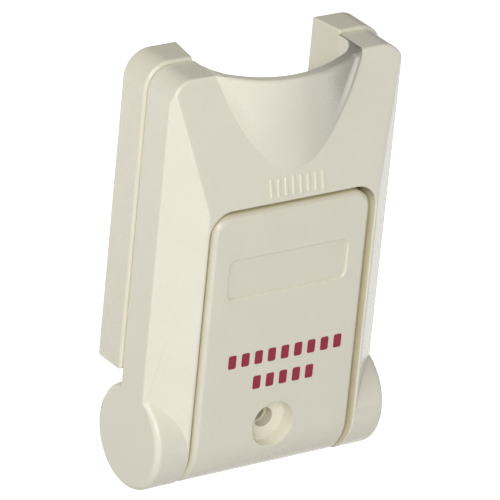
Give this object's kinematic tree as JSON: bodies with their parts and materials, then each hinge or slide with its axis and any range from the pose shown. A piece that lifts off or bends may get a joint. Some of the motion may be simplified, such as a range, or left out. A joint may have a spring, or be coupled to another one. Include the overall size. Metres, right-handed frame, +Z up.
{
  "type": "wall-mounted pull-lever panic switch",
  "caption": "Flat upright wall switch in ivory plastic. A hinged lever with a bowed finger lip surrounds a fixed cover and swings out from the top to raise an alarm.",
  "frame": {"origin": "on the back face that lies on the wall, midway between the two wall-screw holes", "axes": "+Z up along the switch, +Y into the wall, +X to the right as seen from the front"},
  "size_m": [0.0636, 0.0254, 0.1016],
  "materials": {
    "ivory_housing": "satin injection-moulded ABS, warm ivory",
    "ivory_cover": "satin injection-moulded ABS, warm ivory",
    "ivory_lever": "satin injection-moulded ABS, warm ivory",
    "pin_steel": "ground steel",
    "spring_steel": "hardened spring steel",
    "magnet_metal": "cast magnet alloy",
    "keeper_plastic": "satin moulded plastic",
    "board_laminate": "green solder mask on glass laminate",
    "reed_glass": "clear green-tinted glass",
    "terminal_plastic": "moulded polyamide",
    "screw_steel": "zinc-plated steel",
    "clamp_brass": "nickel-free brass"
  },
  "bodies": {
    "base": {"rear_housing": "ivory_housing", "front_cover": "ivory_cover", "circuit_board": "board_laminate", "board_screw_left": "screw_steel", "board_screw_right": "screw_steel", "reed_switch": "reed_glass", "terminal_block": "terminal_plastic", "terminal_screw_1": "screw_steel", "terminal_clamp_1": "clamp_brass", "terminal_screw_2": "screw_steel", "terminal_clamp_2": "clamp_brass", "terminal_screw_3": "screw_steel", "terminal_clamp_3": "clamp_brass"},
    "lever": {"pull_lever": "ivory_lever", "hinge_pin_left": "pin_steel", "hinge_pin_right": "pin_steel", "spring_washer_left": "spring_steel", "spring_washer_right": "spring_steel", "bar_magnet": "magnet_metal", "magnet_keeper": "keeper_plastic"}
  },
  "joints": [
    {"name": "lever_hinge", "type": "hinge", "parent": "base", "child": "lever", "pos_m": [0, -0.013, -0.0301], "axis": [1, 0, 0], "range_deg": [0, 35]}
  ]
}
